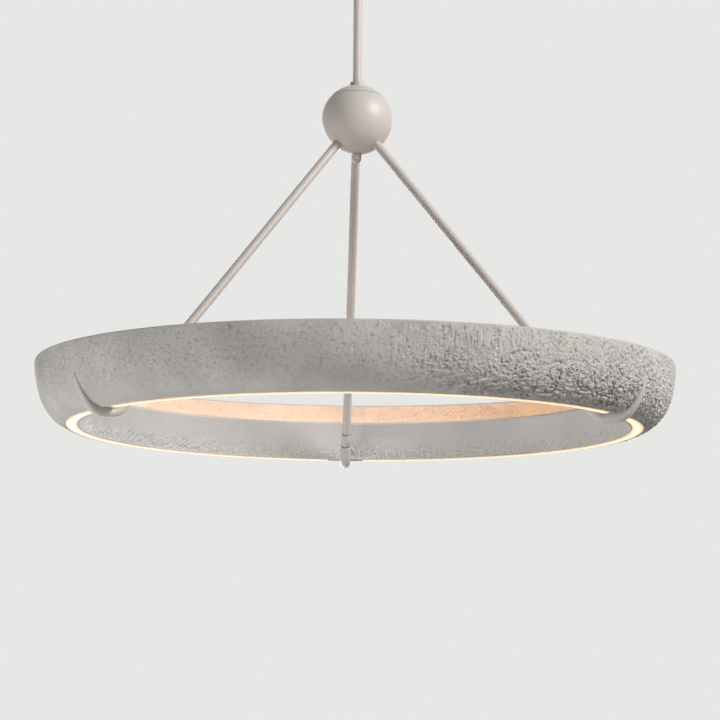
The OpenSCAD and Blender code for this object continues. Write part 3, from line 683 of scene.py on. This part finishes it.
def blend_colour(tree, share, colour_a, colour_b):
    """One colour at a share of 0 and the other at 1, each a socket or three values."""
    made = add(tree, "ShaderNodeMix", {"Factor": share}, data_type="RGBA")
    for index, colour in ((6, colour_a), (7, colour_b)):
        if isinstance(colour, bpy.types.NodeSocket):
            tree.links.new(colour, made.inputs[index])
        else:
            made.inputs[index].default_value = (*colour, 1)
    return made.outputs[2]


def bump(tree, height, strength, distance, normal=None):
    """A normal bent by a height, over another one where it is given."""
    values = {"Height": height, "Strength": strength, "Distance": distance}
    if normal is not None:
        values["Normal"] = normal
    return add(tree, "ShaderNodeBump", values).outputs["Normal"]


def place_of(tree):
    """Where on the object a point lies, in metres."""
    return add(tree, "ShaderNodeTexCoord").outputs["Object"]


def plaster_material(name, light, dark, pit_shade_share, grain):
    """Cast plaster: chalky, with painted shade that darkens its pits and low marks, cloudy patches and a
    fine sandy grain.
    """
    made, tree, shader = new_material(name)
    place = place_of(tree)
    relief = add(tree, "ShaderNodeVertexColor", layer_name="relief").outputs["Color"]
    level = add(tree, "ShaderNodeSeparateColor", {"Color": relief}).outputs["Red"]
    clouds = noise(tree, place, 14.0, 3.0)
    sand = noise(tree, place, 900.0, 3.0, 0.7)
    crumbs = noise(tree, place, 330.0, 4.0, 0.6)
    # Painted shade: the colour turns towards the dark tone wherever the relief is low, in pits, creases,
    # nicks and scratches.
    pits = ramp(tree, level, 1 - pit_shade_share, 1.0, 0.0, 0.6)
    body = blend_colour(tree, pits, dark, light)
    cloudy = blend_colour(tree, ramp(tree, clouds, 0.0, 0.2), body, dark)
    speckled = blend_colour(tree, ramp(tree, sand, 0.0, 0.18, 0.45, 0.8), cloudy, dark)
    tree.links.new(speckled, shader.inputs["Base Color"])
    tree.links.new(ramp(tree, crumbs, 0.82, 0.98), shader.inputs["Roughness"])
    rough = bump(tree, crumbs, grain, 0.0012)
    tree.links.new(bump(tree, sand, grain, 0.0004, rough), shader.inputs["Normal"])
    shader.inputs["Specular IOR Level"].default_value = 0.25
    return made


def powder_coat(name, colour, warm):
    """Satin off-white powder coat with a faint orange peel and slightly uneven gloss."""
    made, tree, shader = new_material(name)
    place = place_of(tree)
    peel = noise(tree, place, 620.0, 2.0)
    speck = noise(tree, place, 2400.0, 2.0, 0.7)
    patches = noise(tree, place, 22.0, 3.0)
    tinted = blend_colour(tree, ramp(tree, patches, 0.0, 0.5), colour, warm)
    dusted = blend_colour(tree, ramp(tree, speck, 0.0, 0.12, 0.5, 0.8), tinted, warm)
    tree.links.new(dusted, shader.inputs["Base Color"])
    tree.links.new(ramp(tree, peel, 0.38, 0.5), shader.inputs["Roughness"])
    waves = bump(tree, peel, 0.15, 0.00012)
    tree.links.new(bump(tree, speck, 0.1, 0.00004, waves), shader.inputs["Normal"])
    shader.inputs["Specular IOR Level"].default_value = 0.5
    return made


def worked_metal(name, colour, stain, roughness, stretch):
    """Bare or plated metal with tool lines along one way and a slightly stained surface."""
    made, tree, shader = new_material(name)
    place = place_of(tree)
    lines = noise(tree, place, 420.0, 4.0, 0.7, stretch)
    stains = noise(tree, place, 60.0, 4.0)
    stained = blend_colour(tree, ramp(tree, stains, 0.0, 0.7), colour, stain)
    tree.links.new(stained, shader.inputs["Base Color"])
    tree.links.new(ramp(tree, lines, roughness, roughness + 0.18), shader.inputs["Roughness"])
    tree.links.new(bump(tree, lines, 0.25, 0.0002), shader.inputs["Normal"])
    shader.inputs["Metallic"].default_value = 1.0
    return made


def moulded_plastic(name, colour, dark, roughness, grain_scale):
    """Moulded plastic or rubber with a sparked texture."""
    made, tree, shader = new_material(name)
    place = place_of(tree)
    grain = noise(tree, place, grain_scale, 3.0, 0.65)
    patches = noise(tree, place, 35.0, 3.0)
    patched = blend_colour(tree, ramp(tree, patches, 0.0, 0.6), colour, dark)
    tree.links.new(patched, shader.inputs["Base Color"])
    tree.links.new(ramp(tree, grain, roughness, roughness + 0.15), shader.inputs["Roughness"])
    tree.links.new(bump(tree, grain, 0.3, 0.0002), shader.inputs["Normal"])
    return made


def radius_of(tree, place):
    """Distance from the light's upright axis, in metres."""
    flat = add(tree, "ShaderNodeVectorMath", {0: place, 1: (1, 1, 0)}, operation="MULTIPLY")
    return add(tree, "ShaderNodeVectorMath", {0: flat.outputs[0]}, operation="LENGTH").outputs["Value"]


def lit_slot_material(name, core, rim, core_level, rim_level):
    """Opal diffuser lit from inside: creamy in the middle and orange where it meets the plaster."""
    made, tree, shader = new_material(name)
    place = place_of(tree)
    off_middle = add(tree, "ShaderNodeMath", {
        0: radius_of(tree, place), 1: SLOT_MID_R * MM}, operation="SUBTRACT").outputs["Value"]
    away = add(tree, "ShaderNodeMath", {0: off_middle}, operation="ABSOLUTE").outputs["Value"]
    waver = ramp(tree, noise(tree, place, 90.0, 3.0), -0.0008, 0.0008)
    away = add(tree, "ShaderNodeMath", {0: away, 1: waver}, operation="ADD").outputs["Value"]
    half = (SLOT_OUTER_R - SLOT_INNER_R) / 2 * MM
    share = ramp(tree, away, 0.0, 1.0, half * 0.36, half * 1.0)
    mottle = noise(tree, place, 420.0, 3.0)
    glow = blend_colour(tree, share, core, rim)
    level = add(tree, "ShaderNodeMath", {
        0: ramp(tree, share, core_level, rim_level, 0.0, 1.0),
        1: ramp(tree, mottle, 0.97, 1.03)}, operation="MULTIPLY").outputs["Value"]
    unlit = blend_colour(tree, share, (0.1, 0.09, 0.07), (0.12, 0.08, 0.04))
    tree.links.new(unlit, shader.inputs["Base Color"])
    tree.links.new(glow, shader.inputs["Emission Color"])
    tree.links.new(level, shader.inputs["Emission Strength"])
    tree.links.new(ramp(tree, mottle, 0.4, 0.55), shader.inputs["Roughness"])
    tree.links.new(bump(tree, mottle, 0.1, 0.0001), shader.inputs["Normal"])
    return made


def lit_cover_material(name, colour, level):
    """Half-round opal cover over the upward strip, a little uneven along its length."""
    made, tree, shader = new_material(name)
    place = place_of(tree)
    patches = noise(tree, place, 25.0, 3.0)
    grain = noise(tree, place, 700.0, 3.0)
    tree.links.new(blend_colour(tree, patches, colour, (1.0, 0.86, 0.68)), shader.inputs["Base Color"])
    shader.inputs["Emission Color"].default_value = (*colour, 1)
    tree.links.new(ramp(tree, patches, level * 0.96, level * 1.04), shader.inputs["Emission Strength"])
    tree.links.new(ramp(tree, grain, 0.35, 0.5), shader.inputs["Roughness"])
    tree.links.new(bump(tree, grain, 0.15, 0.0001), shader.inputs["Normal"])
    return made


def led_strip_material(name):
    """Flexible circuit strip with a small phosphor chip about every 8 mm of its run."""
    made, tree, shader = new_material(name)
    place = place_of(tree)
    parts = add(tree, "ShaderNodeSeparateXYZ", {"Vector": place})
    turn = add(tree, "ShaderNodeMath", {
        0: parts.outputs["Y"], 1: parts.outputs["X"]}, operation="ARCTAN2").outputs["Value"]
    along = add(tree, "ShaderNodeMath", {
        0: turn, 1: CHIPS_PER_RADIAN}, operation="MULTIPLY").outputs["Value"]
    cell = add(tree, "ShaderNodeMath", {0: along}, operation="FRACT").outputs["Value"]
    chip = ramp(tree, cell, 1.0, 0.0, 0.36, 0.4)
    grain = noise(tree, place, 500.0, 3.0)
    colour = blend_colour(tree, chip, (0.86, 0.86, 0.82), (0.95, 0.72, 0.2))
    tree.links.new(colour, shader.inputs["Base Color"])
    tree.links.new(colour, shader.inputs["Emission Color"])
    # Painted light: the board between the chips glows faintly too, for the chips' light spread over it.
    tree.links.new(ramp(tree, chip, 0.2, 1.0, 0.0, 1.0), shader.inputs["Emission Strength"])
    tree.links.new(ramp(tree, grain, 0.4, 0.6), shader.inputs["Roughness"])
    tree.links.new(bump(tree, grain, 0.2, 0.0002), shader.inputs["Normal"])
    return made


def metal_materials():
    """The materials of the slots that are metal."""
    return {
        "white_metal": powder_coat("powder_coat_white", (0.575, 0.532, 0.498), (0.545, 0.497, 0.458)),
        "steel": worked_metal(
            "zinc_plated_steel", (0.62, 0.63, 0.65), (0.5, 0.5, 0.46), 0.28, (1, 6, 1)),
        "brass": worked_metal(
            "turned_brass", (0.72, 0.53, 0.26), (0.52, 0.36, 0.17), 0.24, (0.4, 0.4, 9)),
        "channel": worked_metal(
            "mill_aluminium", (0.72, 0.73, 0.74), (0.58, 0.59, 0.6), 0.34, (0.6, 0.6, 12)),
        "ground_green": worked_metal(
            "green_dyed_steel", (0.06, 0.3, 0.1), (0.04, 0.2, 0.07), 0.3, (1, 1, 5))}


def plastic_materials():
    """The materials of the slots that are plastic or rubber."""
    return {
        "driver_case": moulded_plastic(
            "driver_plastic", (0.78, 0.78, 0.77), (0.68, 0.68, 0.67), 0.42, 1500.0),
        "terminal": moulded_plastic(
            "terminal_plastic", (0.72, 0.73, 0.7), (0.6, 0.61, 0.57), 0.35, 1100.0),
        "cable": moulded_plastic(
            "cable_rubber", (0.035, 0.035, 0.036), (0.055, 0.054, 0.052), 0.5, 1900.0)}


def make_materials():
    """One material for each of the record's slots, and a second plaster for the inner wall: the same
    plaster made lighter as painted light, with weaker painted pit shade.
    """
    return {
        "plaster": plaster_material(
            "plaster_crinkled", (0.66, 0.627, 0.594), (0.2, 0.188, 0.176), 0.8, 0.9),
        # Painted light: the inner wall's plaster is a lighter copy of the outer one, with less painted
        # shade in its low points.
        "plaster_inner": plaster_material(
            "plaster_trowelled_painted_lighter", (0.69, 0.661, 0.638), (0.42, 0.4, 0.385), 0.7, 0.4),
        "lower_diffuser": lit_slot_material(
            "opal_lit_slot", (1.0, 0.95, 0.63), (1.0, 0.34, 0.07), 0.95, 0.88),
        "upper_diffuser": lit_cover_material("opal_lit_cover", (1.0, 0.57, 0.295), 9.3),
        "led_strip": led_strip_material("circuit_strip"),
        **metal_materials(),
        **plastic_materials()}


def dress_nodes(materials):
    """Gives every carried-over node the material of its slot."""
    slots = {row["node"]: row["material_slot"] for row in frame["record"]["subparts"]}
    for name, node in frame["nodes"].items():
        for holder in node.material_slots:
            holder.material = materials[slots[name]]


# Studio, places and sizes in metres

PALE = (0.8, 0.8, 0.79)
FLOOR_BOUNCE = (0.1, 0.098, 0.095)
AMBIENT = 0.18
WARM_WHITE = (1.0, 0.985, 0.965)
CAMERA_PLACE = (0.0, -5.0002, -1.6182)
CAMERA_TURN = (97.9708, -0.4457, -0.1437)
CAMERA_LENS = 176.1
CAMERA_SENSOR = 36.0
CAMERA_CLIP = (0.05, 500.0)
FLOOR_Z = -3.0
FLOOR_HALF = 150.0
FLOOR_PATCH = (0.77, 0.77, 0.76)
FLOOR_SHADE = 0.42
FLOOR_ROUGHNESS = 0.85
FLOOR_GLOW = 0.66
FLOOR_GLOW_FAR = 0.82
FLOOR_GLOW_RISE = (2.0, 14.0)
LAMP_TARGET = (0.0, 0.0, -0.95)

# Name, place, width and height, power, colour
LAMPS = [
    ("key_right", (4.62, -2.46, 2.13), (1.98, 1.98), 380.0, (1.0, 0.997, 0.985)),
    ("front_low", (-0.3, -3.0, -2.5), (1.6, 0.8), 24.0, WARM_WHITE),
    ("soft_left", (-1.79, -0.65, -1.84), (1.4, 1.2), 18.5, (0.96, 0.98, 1.0)),
    ("under_left", (-0.9, 0.4, -2.6), (1.4, 1.4), 7.3, (1.0, 0.985, 0.97)),
    ("soft_back", (-0.8, 3.4, -0.9), (1.8, 1.8), 42.0, (1.0, 0.99, 0.98))]


def camera_share(tree):
    """1 where the camera or a reflection looks, 0 where the surface only serves as light."""
    path = add(tree, "ShaderNodeLightPath")
    seen = path.outputs["Is Camera Ray"]
    for kind in ("Is Glossy Ray", "Is Transmission Ray"):
        either = {0: seen, 1: path.outputs[kind]}
        seen = add(tree, "ShaderNodeMath", either, operation="MAXIMUM").outputs[0]
    return seen


def build_world():
    """A sky that the camera and reflections see pale, and that lights the scene at a lower level."""
    world = bpy.data.worlds.new("studio")
    bpy.context.scene.world = world
    world.use_nodes = True
    tree = world.node_tree
    tree.nodes.clear()
    seen = camera_share(tree)
    light = add(tree, "ShaderNodeBackground", {"Color": (*WARM_WHITE, 1), "Strength": AMBIENT})
    shown = add(tree, "ShaderNodeBackground", {"Color": (*PALE, 1), "Strength": 1.0})
    both = add(tree, "ShaderNodeMixShader", {0: seen, 1: light.outputs[0], 2: shown.outputs[0]})
    add(tree, "ShaderNodeOutputWorld", {"Surface": both.outputs[0]})


def floor_material():
    """Pale where the camera looks, duller where it only bounces light, and clear from below."""
    made, tree, shader = new_material("pale_floor")
    place = place_of(tree)
    patches = noise(tree, place, 3.0, 3.0)
    seen = camera_share(tree)
    pale = blend_colour(tree, ramp(tree, patches, 0.0, 0.3), PALE, FLOOR_PATCH)
    shade = [c * FLOOR_SHADE for c in PALE]
    tree.links.new(blend_colour(tree, seen, FLOOR_BOUNCE, shade), shader.inputs["Base Color"])
    shader.inputs["Roughness"].default_value = FLOOR_ROUGHNESS
    tree.links.new(pale, shader.inputs["Emission Color"])
    level = ramp(tree, radius_of(tree, place), FLOOR_GLOW, FLOOR_GLOW_FAR, *FLOOR_GLOW_RISE)
    glow = add(tree, "ShaderNodeMath", {0: seen, 1: level}, operation="MULTIPLY").outputs[0]
    tree.links.new(glow, shader.inputs["Emission Strength"])
    below = add(tree, "ShaderNodeNewGeometry").outputs["Backfacing"]
    clear = add(tree, "ShaderNodeBsdfTransparent").outputs[0]
    one_sided = add(tree, "ShaderNodeMixShader", {0: below, 1: shader.outputs[0], 2: clear})
    tree.links.new(one_sided.outputs[0], tree.nodes["Material Output"].inputs["Surface"])
    return made


def build_floor():
    """A wide pale floor that keeps the light's shadow."""
    ends = (-FLOOR_HALF, FLOOR_HALF)
    rows = np.array([[(x, y, 0) for y in ends] for x in ends]) / MM
    floor = bpy.data.objects.new("floor", grid_mesh("floor", rows, False, False))
    floor.location = (0, 0, FLOOR_Z)
    bpy.context.scene.collection.objects.link(floor)
    floor.data.materials.append(floor_material())


def add_lamp(name, place, size, power, colour):
    """A rectangular soft light that points at the ring."""
    data = bpy.data.lights.new(name, "AREA")
    data.shape = "RECTANGLE"
    data.size, data.size_y = size
    data.energy = power
    data.color = colour
    made = bpy.data.objects.new(name, data)
    made.location = place
    made.visible_camera = False
    way = Vector(np.subtract(LAMP_TARGET, place))
    made.rotation_euler = way.to_track_quat("-Z", "Y").to_euler()
    bpy.context.scene.collection.objects.link(made)


def build_camera():
    """The photograph's camera, as it was fitted to the picture."""
    data = bpy.data.cameras.new("camera")
    data.lens = CAMERA_LENS
    data.sensor_width = CAMERA_SENSOR
    data.clip_start, data.clip_end = CAMERA_CLIP
    made = bpy.data.objects.new("camera", data)
    made.location = CAMERA_PLACE
    made.rotation_euler = [math.radians(a) for a in CAMERA_TURN]
    bpy.context.scene.collection.objects.link(made)
    bpy.context.scene.camera = made


build_camera()
materials = make_materials()
dress_nodes(materials)
build_ring(materials["plaster"], materials["plaster_inner"])
for arm in range(ARM_COUNT):
    build_bridge(arm, materials["plaster"])
    build_hook(arm, materials["white_metal"])
    build_collar(arm, materials["white_metal"], materials["cable"])
    build_lens(arm, materials["lower_diffuser"])
build_world()
build_floor()
for lamp in LAMPS:
    add_lamp(*lamp)
bpy.context.scene.view_settings.view_transform = "Standard"
